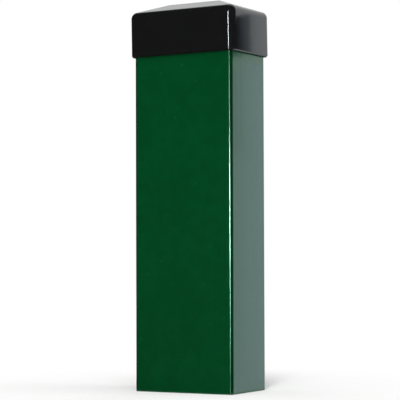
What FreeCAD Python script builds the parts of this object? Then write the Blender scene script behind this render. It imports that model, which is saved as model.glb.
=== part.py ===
import FreeCAD, Part
import math
import os

import Sketcher

doc = FreeCAD.newDocument("FencePost")

# How near two levels are taken as the same, in millimetres
TOUCH = 1e-4

# Driving dimensions, in millimetres. lean_share is a plain share of the play between tube and cap
SIZES = {
    # The tube: a rectangular hollow section, standing on its open lower end
    "post_width": 60.0,
    "post_depth": 40.0,
    "post_length": 204.4,
    "post_wall": 1.5,
    "post_corner_radius": 2.0,
    "post_end_break": 0.2,
    "seam_bead_width": 2.4,
    "seam_bead_height": 0.35,
    # The fit between tube and cap
    "fit_gap": 0.25,
    "lean_share": 0.675,
    "seat_gap": 0.1,
    # The cap's skirt
    "cap_wall": 1.6,
    "cap_side_height": 24.0,
    "cap_rim_break": 0.6,
    "cap_mouth_break": 0.3,
    # The cap's roof
    "roof_inset": 16.5,
    "roof_rise": 5.8,
    "shoulder_radius": 3.8,
    "roof_ridge_radius": 4.0,
    # The stop ribs under the roof and the guide ribs in the skirt
    "stop_rib_drop": 0.85,
    "stop_rib_width": 1.4,
    "stop_rib_spacing": 18.0,
    "guide_rib_height": 0.35,
    "guide_rib_width": 1.2,
    "guide_rib_start": 4.0,
    "long_wall_rib_spacing": 32.0,
    "short_wall_rib_spacing": 18.0,
    # The smallest radius that a rolled or moulded inner corner has
    "least_radius": 0.3,
}

# Sizes worked out from the driving ones
DERIVED = {
    "post_inner_width": "Sizes.post_width - 2 * Sizes.post_wall",
    "post_inner_depth": "Sizes.post_depth - 2 * Sizes.post_wall",
    "post_inner_radius": "max(Sizes.post_corner_radius - Sizes.post_wall; Sizes.least_radius)",
    "seam_radius": (
        "(Sizes.seam_bead_width ^ 2 / 4 + Sizes.seam_bead_height ^ 2) / (2 * Sizes.seam_bead_height)"
    ),
    "seam_centre": "post_inner_depth / 2 - Sizes.seam_bead_height + seam_radius",
    "seam_root": "post_inner_depth / 2 + Sizes.post_wall / 4",
    "guide_room": "Sizes.fit_gap + Sizes.guide_rib_height",
    "bore_width": "Sizes.post_width + 2 * guide_room",
    "bore_depth": "Sizes.post_depth + 2 * guide_room",
    "bore_radius": "Sizes.post_corner_radius + guide_room",
    "cap_width": "bore_width + 2 * Sizes.cap_wall",
    "cap_depth": "bore_depth + 2 * Sizes.cap_wall",
    "cap_corner_radius": "bore_radius + Sizes.cap_wall",
    "cap_height": "Sizes.cap_side_height + Sizes.roof_rise",
    "crown_width": "cap_width - 2 * Sizes.roof_inset",
    "crown_depth": "cap_depth - 2 * Sizes.roof_inset",
    "roof_slope": "atan(Sizes.roof_rise / Sizes.roof_inset)",
    "shoulder_round": "min(Sizes.shoulder_radius; cap_corner_radius - Sizes.least_radius)",
    "ceiling_start": (
        "Sizes.cap_side_height + Sizes.cap_wall * tan(roof_slope) - Sizes.cap_wall / cos(roof_slope)"
    ),
    "ceiling_height": "cap_height - Sizes.cap_wall",
    "seat_depth": "ceiling_start - Sizes.stop_rib_drop",
    "ceiling_round": (
        "min(max(shoulder_round - Sizes.cap_wall; Sizes.least_radius); bore_radius - Sizes.least_radius)"
    ),
    "stop_rib_root": "Sizes.cap_wall / 4",
    "stop_rib_shoulder": (
        "Sizes.cap_side_height + (Sizes.cap_wall - stop_rib_root) * tan(roof_slope)"
        " - Sizes.cap_wall / 2 / cos(roof_slope)"
    ),
    "stop_rib_top": "cap_height - Sizes.cap_wall / 2",
    "stop_rib_run": "(stop_rib_top - stop_rib_shoulder) / tan(roof_slope)",
    "lean_angle": "asin(2 * Sizes.lean_share * Sizes.fit_gap / seat_depth)",
    "lean_lift": "Sizes.post_width / 2 * sin(lean_angle) + Sizes.seat_gap",
    "lean_shift": "Sizes.cap_side_height / 2 * sin(lean_angle)",
}


def fill_sheet(name, cells, lead):
    """A spreadsheet with one named cell for each size. lead is what comes before each cell's content."""
    sheet = doc.addObject("Spreadsheet::Sheet", name)
    for row, (alias, content) in enumerate(cells.items(), start=1):
        sheet.set(f"A{row}", alias)
        sheet.set(f"B{row}", f"{lead}{content}")
        sheet.setAlias(f"B{row}", alias)
    doc.recompute()
    return sheet


fill_sheet("Sizes", SIZES, "")
fill_sheet("Derived", DERIVED, "=")
reckoner = doc.addObject("Spreadsheet::Sheet", "Reckoner")


def cell(alias):
    """The formula that reads a named cell from another object."""
    return f"Sizes.{alias}" if alias in SIZES else f"Derived.{alias}"


def value(formula):
    """The present number that a formula of cells gives, read from a cell that holds it for a moment."""
    reckoner.set("A1", f"={formula}")
    reckoner.recompute()
    found = reckoner.get("A1")
    return float(getattr(found, "Value", found))


def origin_plane(body, role):
    return next(plane for plane in body.Origin.OriginFeatures if plane.Role == role)


def new_body(name):
    body = doc.addObject("PartDesign::Body", name)
    body.Label = name
    return body


def new_sketch(body, name, role="XY_Plane", lift=None):
    """A sketch on one of the body's origin planes, raised along the plane's normal by the formula lift."""
    sketch = body.newObject("Sketcher::SketchObject", name)
    sketch.AttachmentSupport = (origin_plane(body, role), [""])
    sketch.MapMode = "FlatFace"
    if lift:
        sketch.setExpression("AttachmentOffset.Base.z", lift)
    return sketch


def dimension(sketch, name, formula, kind, *places):
    """A named constraint of the sketch whose value is bound to a formula of cells."""
    index = sketch.addConstraint(Sketcher.Constraint(kind, *places, value(formula)))
    sketch.renameConstraint(index, name)
    sketch.setExpression(f"Constraints.{name}", formula)


def tie(sketch, kind, *places):
    """A constraint without a value, such as Tangent or Horizontal."""
    sketch.addConstraint(Sketcher.Constraint(kind, *places))


def add_line(sketch, start, end):
    return sketch.addGeometry(Part.LineSegment(FreeCAD.Vector(*start, 0), FreeCAD.Vector(*end, 0)), False)


def add_arc(sketch, centre, radius, start_angle, end_angle):
    circle = Part.Circle(FreeCAD.Vector(*centre, 0), FreeCAD.Vector(0, 0, 1), radius)
    return sketch.addGeometry(Part.ArcOfCircle(circle, start_angle, end_angle), False)


def rounded_rectangle(sketch, label, width, depth, radius):
    """A rectangle with rounded corners about the sketch's origin. width, depth and radius name cells."""
    half_wide = value(cell(width)) / 2
    half_deep = value(cell(depth)) / 2
    rounding = value(cell(radius))
    flat_x = half_wide - rounding
    flat_y = half_deep - rounding
    quarter = math.pi / 2

    right = add_line(sketch, (half_wide, -flat_y), (half_wide, flat_y))
    back_right = add_arc(sketch, (flat_x, flat_y), rounding, 0, quarter)
    back = add_line(sketch, (flat_x, half_deep), (-flat_x, half_deep))
    back_left = add_arc(sketch, (-flat_x, flat_y), rounding, quarter, 2 * quarter)
    left = add_line(sketch, (-half_wide, flat_y), (-half_wide, -flat_y))
    front_left = add_arc(sketch, (-flat_x, -flat_y), rounding, 2 * quarter, 3 * quarter)
    front = add_line(sketch, (-flat_x, -half_deep), (flat_x, -half_deep))
    front_right = add_arc(sketch, (flat_x, -flat_y), rounding, 3 * quarter, 4 * quarter)

    ring = [right, back_right, back, back_left, left, front_left, front, front_right]
    for here, there in zip(ring, ring[1:] + ring[:1]):
        tie(sketch, "Tangent", here, 2, there, 1)
    for upright in (right, left):
        tie(sketch, "Vertical", upright)
    for level in (front, back):
        tie(sketch, "Horizontal", level)
    for other in (back_left, front_left, front_right):
        tie(sketch, "Equal", back_right, other)
    tie(sketch, "Symmetric", back_right, 3, front_left, 3, -1, 1)
    dimension(sketch, f"{label}_width", cell(width), "DistanceX", left, 1, right, 2)
    dimension(sketch, f"{label}_depth", cell(depth), "DistanceY", front, 1, back, 1)
    dimension(sketch, f"{label}_radius", cell(radius), "Radius", back_right)


def polygon(sketch, label, corners):
    """A closed outline whose corners are pairs of formulas, each measured from the sketch's origin."""
    points = [(value(across), value(along)) for across, along in corners]
    sides = [add_line(sketch, start, end) for start, end in zip(points, points[1:] + points[:1])]
    for here, there in zip(sides, sides[1:] + sides[:1]):
        tie(sketch, "Coincident", here, 2, there, 1)
    for number, (side, (across, along)) in enumerate(zip(sides, corners), start=1):
        dimension(sketch, f"{label}_across_{number}", across, "DistanceX", -1, 1, side, 1)
        dimension(sketch, f"{label}_along_{number}", along, "DistanceY", -1, 1, side, 1)


def pad(body, name, sketch, length, both_ways=False):
    feature = body.newObject("PartDesign::Pad", name)
    feature.Profile = sketch
    feature.setExpression("Length", length)
    feature.Midplane = both_ways
    return feature


def edge_names(feature, wanted):
    """The names of a feature's edges that pass the wanted test."""
    doc.recompute()
    return [f"Edge{number}" for number, edge in enumerate(feature.Shape.Edges, start=1) if wanted(edge)]


def fillet(body, name, feature, wanted, radius):
    """Rounds the feature's edges that pass the wanted test."""
    rounded = body.newObject("PartDesign::Fillet", name)
    rounded.Base = (feature, edge_names(feature, wanted))
    rounded.setExpression("Radius", radius)
    return rounded


def chamfer(body, name, feature, wanted, size):
    """Breaks the feature's edges that pass the wanted test."""
    broken = body.newObject("PartDesign::Chamfer", name)
    broken.Base = (feature, edge_names(feature, wanted))
    broken.setExpression("Size", size)
    return broken


def lies_outside(wide, deep):
    """A test for edges that reach beyond a rectangle of the given cells, centred on the axis."""
    limit_x = value(cell(wide)) / 2 + TOUCH
    limit_y = value(cell(deep)) / 2 + TOUCH

    def test(edge):
        box = edge.BoundBox
        return max(box.XMax, -box.XMin) > limit_x or max(box.YMax, -box.YMin) > limit_y

    return test


def make_post_tube():
    """A length of rectangular hollow section with the weld bead inside its back wall and deburred ends."""
    body = new_body("post_tube")

    section = new_sketch(body, "tube_section")
    rounded_rectangle(section, "outer", "post_width", "post_depth", "post_corner_radius")
    rounded_rectangle(section, "inner", "post_inner_width", "post_inner_depth", "post_inner_radius")
    pad(body, "tube_wall", section, cell("post_length"))

    bead = new_sketch(body, "seam_section")
    centre_y = value(cell("seam_centre"))
    root_y = value(cell("seam_root"))
    radius = value(cell("seam_radius"))
    half_angle = math.acos((centre_y - root_y) / radius)
    half_root = radius * math.sin(half_angle)
    down = 1.5 * math.pi
    arc = add_arc(bead, (0, centre_y), radius, down - half_angle, down + half_angle)
    root = add_line(bead, (half_root, root_y), (-half_root, root_y))
    tie(bead, "Coincident", arc, 2, root, 1)
    tie(bead, "Coincident", root, 2, arc, 1)
    tie(bead, "Horizontal", root)
    tie(bead, "PointOnObject", arc, 3, -2)
    dimension(bead, "bead_radius", cell("seam_radius"), "Radius", arc)
    dimension(bead, "bead_centre", cell("seam_centre"), "DistanceY", -1, 1, arc, 3)
    dimension(bead, "bead_root", cell("seam_root"), "DistanceY", -1, 1, root, 1)
    welded = pad(body, "seam_bead", bead, cell("post_length"))

    is_outer = lies_outside("post_inner_width", "post_inner_depth")

    def is_outer_end(edge):
        return is_outer(edge) and edge.BoundBox.ZLength < TOUCH

    chamfer(body, "deburred_ends", welded, is_outer_end, cell("post_end_break"))
    return body


def slope_cuts(body, name, role, block_size, crown_size):
    """Cuts the two roof slopes that face each other across the block's given size."""
    eaves = f"{cell(block_size)} / 2"
    ridge = f"{cell(crown_size)} / 2"
    beyond = cell("cap_wall")
    climb = f"{beyond} * tan({cell('roof_slope')})"
    low = f"{cell('cap_side_height')} - {climb}"
    high = f"{cell('cap_height')} + {climb}"
    sketch = new_sketch(body, f"{name}_profile", role)
    for side, sign in (("plus", ""), ("minus", "-")):
        outer = f"{sign}({eaves} + {beyond})"
        inner = f"{sign}({ridge} - {beyond})"
        polygon(sketch, side, [(outer, low), (outer, high), (inner, high)])
    cut = body.newObject("PartDesign::Pocket", name)
    cut.Profile = sketch
    cut.Type = "ThroughAll"
    cut.Midplane = True
    return cut


def shell_of_cap(body):
    """The cap's plain form: a block with four roof slopes and a flat crown, hollowed to an even wall."""
    outline = new_sketch(body, "skirt_outline")
    rounded_rectangle(outline, "skirt", "cap_width", "cap_depth", "cap_corner_radius")
    pad(body, "cap_block", outline, cell("cap_height"))
    slope_cuts(body, "end_slopes", "XZ_Plane", "cap_width", "crown_width")
    roof = slope_cuts(body, "side_slopes", "YZ_Plane", "cap_depth", "crown_depth")
    doc.recompute()

    faces = enumerate(roof.Shape.Faces, start=1)
    underside = next(f"Face{number}" for number, face in faces if face.BoundBox.ZMax < TOUCH)
    shell = body.newObject("PartDesign::Thickness", "shell")
    shell.Base = (roof, [underside])
    shell.setExpression("Value", cell("cap_wall"))
    shell.Reversed = True
    shell.Join = "Intersection"
    return shell


def round_edges(body, shell):
    """Softens the moulded edges: hips and crown, shoulder, the ceiling inside, rim and mouth."""
    is_outer = lies_outside("bore_width", "bore_depth")
    crown_level = value(cell("cap_height"))
    side_level = value(cell("cap_side_height"))
    ceiling_level = value(cell("ceiling_height"))
    ceiling_foot = value(cell("ceiling_start"))

    def is_ridge(edge):
        box = edge.BoundBox
        straight = isinstance(edge.Curve, Part.Line)
        is_hip = straight and min(box.XLength, box.YLength, box.ZLength) > TOUCH
        return abs(box.ZMax - crown_level) < TOUCH and (is_hip or box.ZLength < TOUCH)

    def is_shoulder(edge):
        box = edge.BoundBox
        return is_outer(edge) and side_level - TOUCH < box.ZMin and box.ZMax < ceiling_level

    def is_inner_shoulder(edge):
        return not is_outer(edge) and ceiling_foot - TOUCH < edge.BoundBox.ZMin < side_level

    def is_rim(edge):
        return edge.BoundBox.ZMax < TOUCH and is_outer(edge)

    def is_mouth(edge):
        return edge.BoundBox.ZMax < TOUCH and not is_outer(edge)

    ridges = fillet(body, "roof_ridges", shell, is_ridge, cell("roof_ridge_radius"))
    shoulder = fillet(body, "roof_shoulder", ridges, is_shoulder, cell("shoulder_round"))
    ceiling = fillet(body, "ceiling_shoulder", shoulder, is_inner_shoulder, cell("ceiling_round"))
    rim = chamfer(body, "rim_edge", ceiling, is_rim, cell("cap_rim_break"))
    chamfer(body, "bore_mouth", rim, is_mouth, cell("cap_mouth_break"))


def stop_rib_profile(body, name, role, bore_size, lift=None):
    """A rib's face, from the seat up into the roof, on an upright plane across a bore of the given size."""
    reach = f"({cell(bore_size)} / 2 + {cell('stop_rib_root')})"
    crown_reach = f"({reach} - {cell('stop_rib_run')})"
    seat = cell("seat_depth")
    shoulder = cell("stop_rib_shoulder")
    top = cell("stop_rib_top")
    corners = [
        (f"-{reach}", seat),
        (reach, seat),
        (reach, shoulder),
        (crown_reach, top),
        (f"-{crown_reach}", top),
        (f"-{reach}", shoulder),
    ]
    sketch = new_sketch(body, name, role, lift)
    polygon(sketch, "rib", corners)
    return sketch


def add_stop_ribs(body):
    """One long rib and two short ones across it, under the roof. Their lower edges are the tube's stop."""
    long_face = stop_rib_profile(body, "long_stop_face", "XZ_Plane", "bore_width")
    pad(body, "long_stop_rib", long_face, cell("stop_rib_width"), both_ways=True)
    for side, sign in (("left", "-"), ("right", "")):
        place = f"{sign}{cell('stop_rib_spacing')} / 2"
        face = stop_rib_profile(body, f"{side}_stop_face", "YZ_Plane", "bore_depth", lift=place)
        pad(body, f"{side}_stop_rib", face, cell("stop_rib_width"), both_ways=True)


def add_guide_ribs(body):
    """Thin upright ribs on the skirt's inner walls, two on each wall, which guide the tube."""
    root = f"{cell('cap_wall')} / 4"
    rise = cell("guide_rib_height")
    half_rib = f"{cell('guide_rib_width')} / 2"

    def span(bore_size):
        wall = f"{cell(bore_size)} / 2"
        return f"({wall} - {rise})", f"({wall} + {root})"

    def around(spacing):
        middle = f"{cell(spacing)} / 2"
        return f"({middle} - {half_rib})", f"({middle} + {half_rib})"

    length = f"{cell('seat_depth')} - {cell('guide_rib_start')}"
    originals = []
    for name, across, along in (
        ("long_wall_rib", around("long_wall_rib_spacing"), span("bore_depth")),
        ("short_wall_rib", span("bore_width"), around("short_wall_rib_spacing")),
    ):
        sketch = new_sketch(body, f"{name}_section", lift=cell("guide_rib_start"))
        low_x, high_x = across
        low_y, high_y = along
        polygon(sketch, "rib", [(low_x, low_y), (high_x, low_y), (high_x, high_y), (low_x, high_y)])
        originals.append(pad(body, name, sketch, length))

    pattern = body.newObject("PartDesign::MultiTransform", "guide_rib_pattern")
    pattern.Originals = originals
    mirrors = []
    for name, role in (("mirror_left_right", "YZ_Plane"), ("mirror_front_back", "XZ_Plane")):
        mirror = body.newObject("PartDesign::Mirrored", name)
        mirror.MirrorPlane = (origin_plane(body, role), [""])
        mirrors.append(mirror)
    pattern.Transformations = mirrors
    body.Tip = pattern


def make_post_cap():
    """The moulded cap, pushed over the tube's upper end and leaning left within the play of its fit."""
    body = new_body("post_cap")
    round_edges(body, shell_of_cap(body))
    add_stop_ribs(body)
    add_guide_ribs(body)

    leaning_left = FreeCAD.Rotation(FreeCAD.Vector(0, -1, 0), value(cell("lean_angle")))
    body.Placement = FreeCAD.Placement(FreeCAD.Vector(0, 0, 0), leaning_left)
    rim_height = f"{cell('post_length')} - {cell('seat_depth')} + {cell('lean_lift')}"
    body.setExpression("Placement.Base.x", cell("lean_shift"))
    body.setExpression("Placement.Base.z", rim_height)
    body.setExpression("Placement.Rotation.Angle", cell("lean_angle"))
    return body


def check(bodies):
    """Stops where an object failed, a pocket cuts nothing, or a piece isn't one valid solid."""
    for item in doc.Objects:
        if {"Invalid", "Error"} & set(item.State):
            raise RuntimeError(f"{item.Name} failed: {item.State}")
        if item.TypeId == "PartDesign::Pocket" and item.Shape.Volume > item.BaseFeature.Shape.Volume - TOUCH:
            raise RuntimeError(f"{item.Name} cuts nothing")
    for body in bodies:
        shape = body.Shape
        if shape.isNull() or not shape.isValid() or len(shape.Solids) != 1:
            raise RuntimeError(f"{body.Label} is not one valid solid")


pieces = [make_post_tube(), make_post_cap()]
doc.removeObject(reckoner.Name)
doc.recompute()
check(pieces)

os.makedirs("parts", exist_ok=True)
for piece in pieces:
    piece.Shape.exportStep(f"parts/{piece.Label}.step")
    print(piece.Label, "volume", round(piece.Shape.Volume, 1), "box", piece.Shape.BoundBox)
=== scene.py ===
import math

import bpy
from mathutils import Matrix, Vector

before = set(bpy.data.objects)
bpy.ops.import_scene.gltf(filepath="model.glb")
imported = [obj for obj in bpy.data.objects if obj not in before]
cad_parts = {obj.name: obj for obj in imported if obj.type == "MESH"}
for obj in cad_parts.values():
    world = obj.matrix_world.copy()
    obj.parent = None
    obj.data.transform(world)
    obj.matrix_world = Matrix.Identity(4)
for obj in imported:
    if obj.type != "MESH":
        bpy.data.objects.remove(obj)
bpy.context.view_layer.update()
scene = bpy.context.scene

# Lengths are in metres. x runs across the post, y from its front to its back, and z up.

# Half the width and depth of the rectangle that the corners of the tube and the cap are rounded about
CORE = (0.028, 0.018)
# The radius of the tube's outer corners
TUBE_CORNER = 0.002
# How far from the core rectangle the walls of the tube and the cap have their middle
TUBE_WALL_MIDDLE = 0.00125
CAP_WALL_MIDDLE = 0.0033
# Beyond this depth the middle of the bore shows only the back wall and its weld bead
BACK_WALL_FROM = 0.0172
# Above this height there is only the middle of the cap's roof
ROOF_MIDDLE_FROM = 0.2112

# The middle of the post, which the soft lamps point at
MIDDLE = (0.0, 0.0, 0.10)
# The world's even light, where white would be 1
WORLD_LIGHT = 0.25
WHITE = (1.0, 1.0, 1.0, 1.0)

# The heights between which the cards stand that the side of the cap and the side of the tube mirror
CAP_BAND = (0.1908, 0.2165)
TUBE_BAND = (0.0005, 0.187)


class Graph:
    """The node tree of a material or the world, with short calls for the nodes that the looks need."""

    def __init__(self, owner, output="ShaderNodeOutputMaterial"):
        self.owner = owner
        owner.use_nodes = True
        self.tree = owner.node_tree
        self.tree.nodes.clear()
        self.output = self.node(output)
        self.place = self.node("ShaderNodeTexCoord").outputs["Object"]

    def node(self, kind, inputs=None, **settings):
        made = self.tree.nodes.new(kind)
        for key, setting in settings.items():
            setattr(made, key, setting)
        for key, given in (inputs or {}).items():
            self.feed(made.inputs[key], given)
        return made

    def feed(self, socket, given):
        """Link a socket to another node's output, or set it to a value."""
        if isinstance(given, bpy.types.NodeSocket):
            self.tree.links.new(given, socket)
        else:
            socket.default_value = given

    def show(self, shader):
        """End the tree in this shader, and give back the material or world."""
        self.feed(self.output.inputs["Surface"], shader)
        return self.owner

    def math(self, operation, *given):
        made = self.node("ShaderNodeMath", operation=operation)
        for socket, part in zip(made.inputs, given):
            self.feed(socket, part)
        return made.outputs[0]

    def weighted(self, *pairs):
        """The sum of several numbers, each times its weight."""
        total = 0.0
        for given, weight in pairs:
            total = self.math("MULTIPLY_ADD", given, weight, total)
        return total

    def ramp(self, given, low, high, start=0.0, end=1.0):
        """A smooth step from start to end, as the given number goes from low to high."""
        inputs = {"Value": given, "From Min": low, "From Max": high, "To Min": start, "To Max": end}
        return self.node("ShaderNodeMapRange", inputs, interpolation_type="SMOOTHSTEP").outputs["Result"]

    def noise(self, scale, detail, rough=0.5, place=None):
        inputs = {"Vector": place or self.place, "Scale": scale, "Detail": detail, "Roughness": rough}
        return self.node("ShaderNodeTexNoise", inputs).outputs["Fac"]

    def stretched_noise(self, x, y, z, detail):
        """Noise with a scale of its own along each axis."""
        place = self.node("ShaderNodeVectorMath", {0: self.place, 1: (x, y, z)}, operation="MULTIPLY")
        return self.noise(1.0, detail, place=place.outputs[0])

    def cells(self, scale):
        return self.node("ShaderNodeTexVoronoi", {"Vector": self.place, "Scale": scale}).outputs

    def cell_number(self, cells):
        """A random number from 0 to 1 that is the same all over a cell."""
        return self.node("ShaderNodeSeparateColor", {"Color": cells["Color"]}).outputs[0]

    def blend(self, share, first, second):
        """The first colour, giving way to the second as the share goes from 0 to 1."""
        return self.node("ShaderNodeMix", {0: share, 6: first, 7: second}, data_type="RGBA").outputs[2]

    def blend_number(self, share, first, second):
        return self.node("ShaderNodeMix", {0: share, 2: first, 3: second}, data_type="FLOAT").outputs[0]

    def blend_shader(self, share, first, second):
        return self.node("ShaderNodeMixShader", {0: share, 1: first, 2: second}).outputs[0]

    def glow(self, tone, strength=1.0):
        return self.node("ShaderNodeEmission", {"Color": tone, "Strength": strength}).outputs[0]

    def bump(self, height, distance, under=None):
        """The surface raised by a height from 0 to 1 times the distance, over the bump under it."""
        inputs = {"Height": height, "Strength": 1.0, "Distance": distance}
        if under is not None:
            inputs["Normal"] = under
        return self.node("ShaderNodeBump", inputs).outputs["Normal"]

    def split(self, vector):
        """A vector's parts along the three axes."""
        return self.node("ShaderNodeSeparateXYZ", {"Vector": vector}).outputs

    def facing_up(self):
        """How far the surface faces up, from -1 for straight down to 1 for straight up."""
        return self.split(self.node("ShaderNodeNewGeometry").outputs["True Normal"])[2]

    def beyond_core(self):
        """How far the place lies outside the core rectangle, across and deep."""
        parts = self.split(self.place)[:2]
        return [
            self.math("MAXIMUM", self.math("SUBTRACT", self.math("ABSOLUTE", part), half_core), 0.0)
            for part, half_core in zip(parts, CORE)
        ]

    def within(self, reach):
        """1 where the place is nearer to the core rectangle than reach, seen from above, else 0."""
        squares = self.math("ADD", *(self.math("MULTIPLY", part, part) for part in self.beyond_core()))
        return self.math("LESS_THAN", squares, reach * reach)

    def corner(self, radius):
        """0 on the flat faces, rising to 1 along the middle of each rounded corner."""
        across, deep = self.beyond_core()
        return self.math("MULTIPLY", self.math("MULTIPLY", across, deep), 2.0 / radius ** 2)

    def eye_or_gloss(self):
        """1 for rays that show a background: straight to the eye, or by way of gloss or glass."""
        rays = self.node("ShaderNodeLightPath").outputs
        share = self.math("MAXIMUM", rays["Is Camera Ray"], rays["Is Glossy Ray"])
        return self.math("MAXIMUM", share, rays["Is Transmission Ray"])

    def principled(self, **inputs):
        named = {key.replace("_", " "): given for key, given in inputs.items()}
        return self.node("ShaderNodeBsdfPrincipled", named).outputs[0]


def material_graph(name):
    return Graph(bpy.data.materials.new(name))


def colour(red, green, blue):
    return (red, green, blue, 1.0)


def powder_coat():
    """Green powder coat outside with painted shade along its corners, bare zinc in the bore with its weld
    bead, sawn steel on the lower end.
    """
    g = material_graph("green_powder_coat_detail")

    # Soft clouds, finer mottling and long streaks in the green, and a light grain over them
    cloud = g.noise(26.0, detail=3.0)
    mottle = g.noise(170.0, detail=4.0, rough=0.6)
    streak = g.stretched_noise(420.0, 420.0, 5.0, detail=3.0)
    grain = g.noise(620.0, detail=3.0, rough=0.6)
    patches = g.ramp(g.weighted((cloud, 0.40), (mottle, 0.48), (streak, 0.12)), 0.40, 0.60)
    deep_green = colour(0.0001, 0.0560, 0.0130)
    light_green = colour(0.0003, 0.0650, 0.0160)
    grain_green = colour(0.0010, 0.074, 0.0195)
    paint = g.blend(patches, deep_green, light_green)
    paint = g.blend(g.math("MULTIPLY", grain, 0.18), paint, grain_green)

    # Tiny specks in the coat, a few on each face
    speck_cells = g.cells(233.0)
    near_middle = g.ramp(speck_cells["Distance"], 0.10, 0.22, 1.0, 0.0)
    speck = g.math("MULTIPLY", near_middle, g.math("GREATER_THAN", g.cell_number(speck_cells), 0.90))
    speck_green = colour(0.012, 0.11, 0.045)
    paint = g.blend(g.math("MULTIPLY", speck, 0.32), paint, speck_green)

    # Painted shade: the green darkens to near black along the middle of each rounded corner, standing in for
    # the dark line of shade there
    painted_corner_shade = g.ramp(g.corner(TUBE_CORNER), 0.35, 0.95, 0.0, 0.62)
    paint = g.blend(painted_corner_shade, paint, colour(0.0, 0.004, 0.001))

    # The galvanised inside: crystals of zinc, darker along the weld in the middle of the back wall
    crystal = g.cell_number(g.cells(240.0))
    zinc = g.blend(crystal, colour(0.30, 0.31, 0.32), colour(0.46, 0.47, 0.48))
    parts = g.split(g.place)
    beside_weld = g.ramp(g.math("ABSOLUTE", parts[0]), 0.0012, 0.0055, 1.0, 0.0)
    heat = g.math("MULTIPLY", beside_weld, g.math("GREATER_THAN", parts[1], BACK_WALL_FROM))
    scale_marks = g.stretched_noise(500.0, 500.0, 160.0, detail=4.0)
    scaled = g.blend(scale_marks, colour(0.05, 0.06, 0.08), colour(0.16, 0.14, 0.12))
    zinc = g.blend(g.math("MULTIPLY", heat, 0.75), zinc, scaled)

    # The sawn end: fine parallel strokes across bright steel
    strokes = g.stretched_noise(120.0, 2600.0, 120.0, detail=3.0)
    steel = g.blend(strokes, colour(0.28, 0.28, 0.29), colour(0.52, 0.52, 0.53))

    inside = g.within(TUBE_WALL_MIDDLE)
    end_face = g.math("GREATER_THAN", g.math("ABSOLUTE", g.facing_up()), 0.9)
    bare = g.math("MAXIMUM", inside, end_face)
    base = g.blend(inside, paint, zinc)
    base = g.blend(end_face, base, steel)

    coat_roughness = g.blend_number(g.noise(60.0, detail=3.0), 0.13, 0.19)
    bare_roughness = g.blend_number(crystal, 0.30, 0.48)
    roughness = g.blend_number(bare, coat_roughness, bare_roughness)

    # Long ripples from the rolled steel, the coat's orange peel, saw strokes on bare metal, raised specks
    rolled = g.bump(g.stretched_noise(95.0, 95.0, 2.2, detail=2.0), distance=1.0e-4)
    peeled = g.bump(g.noise(520.0, detail=1.5), distance=2.2e-5, under=rolled)
    stroked = g.bump(g.math("MULTIPLY", strokes, bare), distance=3.0e-5, under=peeled)
    raised = g.math("MULTIPLY", speck, g.math("SUBTRACT", 1.0, bare))
    normal = g.bump(raised, distance=2.0e-5, under=stroked)
    shader = g.principled(
        Base_Color=base,
        Metallic=bare,
        Roughness=roughness,
        IOR=1.70,
        Specular_Tint=colour(0.66, 1.0, 0.90),
        Normal=normal,
    )
    return g.show(shader)


def black_plastic():
    """Gloss moulded plastic, slightly wavy outside, duller in the cap's mouth, and matt under its rim, where
    painted shade darkens it.
    """
    g = material_graph("black_plastic_detail")
    height = g.split(g.place)[2]
    facing_up = g.facing_up()
    inside = g.math("MULTIPLY", g.within(CAP_WALL_MIDDLE), g.math("LESS_THAN", height, ROOF_MIDDLE_FROM))
    inside = g.math("MULTIPLY", inside, g.math("LESS_THAN", facing_up, 0.05))

    # The faces that look down, of which only the rim's underside is in sight from outside
    underside_shade_and_matt = g.math("LESS_THAN", facing_up, -0.9)

    # Faint level bands, as the plastic flowed into the mould
    flow = g.ramp(g.stretched_noise(40.0, 40.0, 260.0, detail=3.0), 0.3, 0.7)
    base = g.blend(flow, colour(0.0070, 0.0071, 0.0071), colour(0.0080, 0.0082, 0.0082))
    # Painted shade: the rim's underside is made near black, standing in for the shade in the gap between cap
    # and tube
    base = g.blend(underside_shade_and_matt, base, colour(0.0020, 0.0020, 0.0020))

    outside_roughness = g.blend_number(g.noise(90.0, detail=3.0), 0.08, 0.13)
    roughness = g.blend_number(inside, outside_roughness, 0.48)
    roughness = g.blend_number(underside_shade_and_matt, roughness, 0.90)

    waved = g.bump(g.noise(48.0, detail=1.0), distance=6.0e-5)
    grained = g.bump(g.noise(1400.0, detail=2.0), distance=2.5e-6, under=waved)
    shader = g.principled(
        Base_Color=base,
        Roughness=roughness,
        IOR=1.6,
        Specular_Tint=colour(0.90, 0.96, 1.0),
        Normal=grained,
    )
    return g.show(shader)


def floor_paint():
    """A plain pale floor that runs out into the white background, and keeps the shadow near the post."""
    g = material_graph("floor_paint")
    pale = g.blend(g.noise(7.0, detail=3.0), colour(0.91, 0.91, 0.905), colour(0.94, 0.94, 0.935))
    matt = g.node("ShaderNodeBsdfDiffuse", {"Color": pale, "Roughness": 0.6}).outputs[0]
    distance = g.node("ShaderNodeVectorMath", {0: g.place}, operation="LENGTH").outputs["Value"]
    far_from_post = g.ramp(distance, 0.04, 0.20)
    share = g.math("MULTIPLY", far_from_post, g.eye_or_gloss())
    return g.show(g.blend_shader(share, matt, g.glow(WHITE)))


def card_paint(name, tone):
    """A card's even tone, as the gloss shows it."""
    g = material_graph(name)
    return g.show(g.glow(tone))


def graded_card_paint(name, tone, left, right, left_strength, right_strength, shaded=0.0):
    """A tone that changes from a card's left to its right, and is shaded at its upper right."""
    shade_left, shade_right = 0.064, 0.077
    shade_low, shade_high = 0.123, 0.140
    g = material_graph(name)
    parts = g.split(g.place)
    strength = g.ramp(parts[0], left, right, left_strength, right_strength)
    shade = g.math(
        "MULTIPLY",
        g.ramp(parts[0], shade_left, shade_right),
        g.ramp(parts[2], shade_low, shade_high),
    )
    strength = g.math("SUBTRACT", strength, g.math("MULTIPLY", shade, shaded))
    return g.show(g.glow(tone, strength))


def stage_mesh(name, points, faces, material):
    """A mesh of the studio, which is no part of the object."""
    mesh = bpy.data.meshes.new(name)
    mesh.from_pydata(points, [], faces)
    made = bpy.data.objects.new(name, mesh)
    scene.collection.objects.link(made)
    mesh.materials.append(material)
    return made


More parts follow.
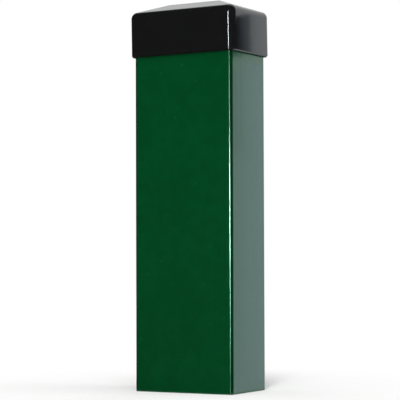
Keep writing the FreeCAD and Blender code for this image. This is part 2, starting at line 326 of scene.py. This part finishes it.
def lay_floor():
    half = 12.0
    points = [(-half, -half, 0), (half, -half, 0), (half, half, 0), (-half, half, 0)]
    stage_mesh("floor", points, [(0, 1, 2, 3)], floor_paint())


def gloss_card(name, points, paint, faces=None):
    """A card that only gloss sees, of one face unless more are given."""
    card = stage_mesh(name, points, faces or [tuple(range(len(points)))], paint)
    for kind in ("camera", "diffuse", "transmission", "volume_scatter", "shadow"):
        setattr(card, f"visible_{kind}", False)


def on_dome(radius, turn, climb):
    """A point at a turn from -Y towards +X and a climb above the floor, in degrees."""
    turn, climb = math.radians(turn), math.radians(climb)
    level = radius * math.cos(climb)
    return (level * math.sin(turn), -level * math.cos(turn), radius * math.sin(climb))


def dark_room(paint):
    """The unlit side of the studio, behind the camera: what the gloss of the front faces shows."""
    radius, first_turn, last_turn, top = 2.2, -130, 136, 90
    turn_steps, climb_steps = 34, 10
    turns = [first_turn + (last_turn - first_turn) * step / turn_steps for step in range(turn_steps + 1)]
    climbs = [top * step / climb_steps for step in range(climb_steps + 1)]
    points = [on_dome(radius, turn, climb) for turn in turns for climb in climbs]
    rows = len(climbs)
    faces = []
    for turn_step in range(turn_steps):
        for climb_step in range(climb_steps):
            at = turn_step * rows + climb_step
            faces.append((at, at + rows, at + rows + 1, at + 1))
    gloss_card("dark_room", points, paint, faces)


def dark_floor(paint):
    """The floor of the unlit side, from just in front of the post."""
    low = 0.0004
    outline = [
        (-2.1, 0.3), (-0.9, 0.3), (-0.036, 0.03), (-0.032, -0.0225), (0.032, -0.0225),
        (0.75, 0.55), (1.8, 1.0), (2.1, -0.6), (1.4, -2.1), (-2.0, -2.1),
    ]
    gloss_card("dark_floor", [(x, y, low) for x, y in outline], paint)


def upright_card(name, left, right, band, paint):
    """A card at the right behind the post, which the side faces mirror."""
    back = 0.07
    low, high = band
    gloss_card(name, [(left, back, low), (right, back, low), (right, back, high), (left, back, high)], paint)


def pale_floor(paint):
    """A pale card on the floor beside the post, which the side's foot mirrors."""
    low = 0.0003
    outline = [(0.034, -0.019), (0.10, 0.034), (0.10, 0.07), (0.034, 0.07)]
    gloss_card("pale_floor", [(x, y, low) for x, y in outline], paint)


def set_up_cards():
    """What the gloss of the post shows: a dark room, and tones beside the post from light to dark."""
    dark = card_paint("dark_card_paint", colour(0.006, 0.006, 0.006))
    dark_room(dark)
    dark_floor(dark)

    # Beside the cap, the light card meets the grey one, and that meets the dark one
    light_left, grey_left, dark_left, dark_right = 0.058, 0.0684, 0.0741, 0.45
    upright_card("dark_card", dark_left, dark_right, CAP_BAND, dark)
    grey = card_paint("grey_card_paint", colour(0.21, 0.25, 0.29))
    upright_card("grey_card", grey_left, dark_left, CAP_BAND, grey)
    light = graded_card_paint(
        "light_card_paint", colour(0.96, 1.0, 1.0), light_left, grey_left,
        left_strength=1.0, right_strength=0.84,
    )
    upright_card("light_card", light_left, grey_left, CAP_BAND, light)

    # Beside the tube, the rim card meets the pale one
    rim_left, pale_left, grading_right, pale_right = 0.030, 0.050, 0.088, 0.100
    pale = graded_card_paint(
        "pale_card_paint", colour(1.03, 1.0, 1.18), pale_left, grading_right,
        left_strength=1.08, right_strength=0.82, shaded=0.15,
    )
    upright_card("pale_card", pale_left, pale_right, TUBE_BAND, pale)
    rim = card_paint("rim_card_paint", colour(0.66, 0.73, 0.69))
    upright_card("rim_card", rim_left, pale_left, TUBE_BAND, rim)
    pale_floor(card_paint("pale_floor_paint", colour(0.97, 0.95, 1.10)))


def lamp(name, place, power, size, target=MIDDLE, for_gloss=False, tint=(1.0, 1.0, 1.0)):
    """A soft lamp that either lights the surfaces or is only mirrored by their gloss."""
    data = bpy.data.lights.new(name, "AREA")
    data.color = tint
    data.shape = "ELLIPSE"
    data.size, data.size_y = size
    data.energy = power
    made = bpy.data.objects.new(name, data)
    scene.collection.objects.link(made)
    made.location = place
    made.rotation_euler = (Vector(target) - Vector(place)).to_track_quat("-Z", "Y").to_euler()
    made.visible_camera = False
    made.visible_glossy = for_gloss
    made.visible_diffuse = not for_gloss


def light_the_world():
    """An even light from all round, behind which the eye and the gloss see white."""
    g = Graph(bpy.data.worlds.new("studio"), "ShaderNodeOutputWorld")
    soft = g.node("ShaderNodeBackground", {"Color": WHITE, "Strength": WORLD_LIGHT}).outputs[0]
    white = g.node("ShaderNodeBackground", {"Color": WHITE, "Strength": 1.0}).outputs[0]
    scene.world = g.show(g.blend_shader(g.eye_or_gloss(), soft, white))


def set_up_lamps():
    # The streaks of light along the near corner: the tube's, its lower part and the cap's
    lamp(
        "near_highlight", (0.425, -1.148, 0.130), 7.8, (0.048, 0.14),
        for_gloss=True, tint=(0.82, 1.0, 0.93),
    )
    lamp(
        "lower_highlight", (0.425, -1.148, 0.025), 1.1, (0.05, 0.05),
        target=(0.0, 0.0, 0.04), for_gloss=True, tint=(0.45, 1.0, 0.72),
    )
    lamp(
        "upper_highlight", (0.225, -1.203, 0.36), 0.85, (0.05, 0.05),
        target=(0.0, 0.0, 0.20), for_gloss=True,
    )

    # The soft light on the surfaces
    lamp("front_softbox", (0.60, -1.50, 0.72), 9.6, (0.35, 0.35))
    lamp("high_softbox", (0.45, -1.00, 1.45), 8.8, (0.9, 0.9))
    lamp("top_softbox", (0.1, 0.15, 1.6), 6.0, (1.4, 1.4))
    lamp("right_softbox", (1.3, 0.35, 0.5), 3.4, (0.9, 0.9))
    lamp("left_softbox", (-1.3, 0.2, 0.5), 5.0, (0.9, 0.9))
    lamp("back_softbox", (-0.2, 1.4, 0.6), 5.0, (0.9, 0.9))


def set_camera():
    """The camera that the photo's edges give, with its angles in degrees."""
    pitch, roll, heading = 91.73911, 0.18089, 28.61111
    data = bpy.data.cameras.new("camera")
    data.sensor_fit = "HORIZONTAL"
    data.sensor_width = 36.0
    data.lens = 159.0
    data.clip_start = 0.01
    data.clip_end = 100.0
    made = bpy.data.objects.new("camera", data)
    scene.collection.objects.link(made)
    made.location = (0.46474, -0.85239, 0.0750)
    made.rotation_euler = [math.radians(angle) for angle in (pitch, roll, heading)]
    scene.camera = made


def dress(node, material):
    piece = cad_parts[node]
    piece.material_slots[0].material = material


dress("post_tube", powder_coat())
dress("post_cap", black_plastic())

lay_floor()
set_up_cards()
light_the_world()
set_up_lamps()
set_camera()
scene.view_settings.view_transform = "Standard"
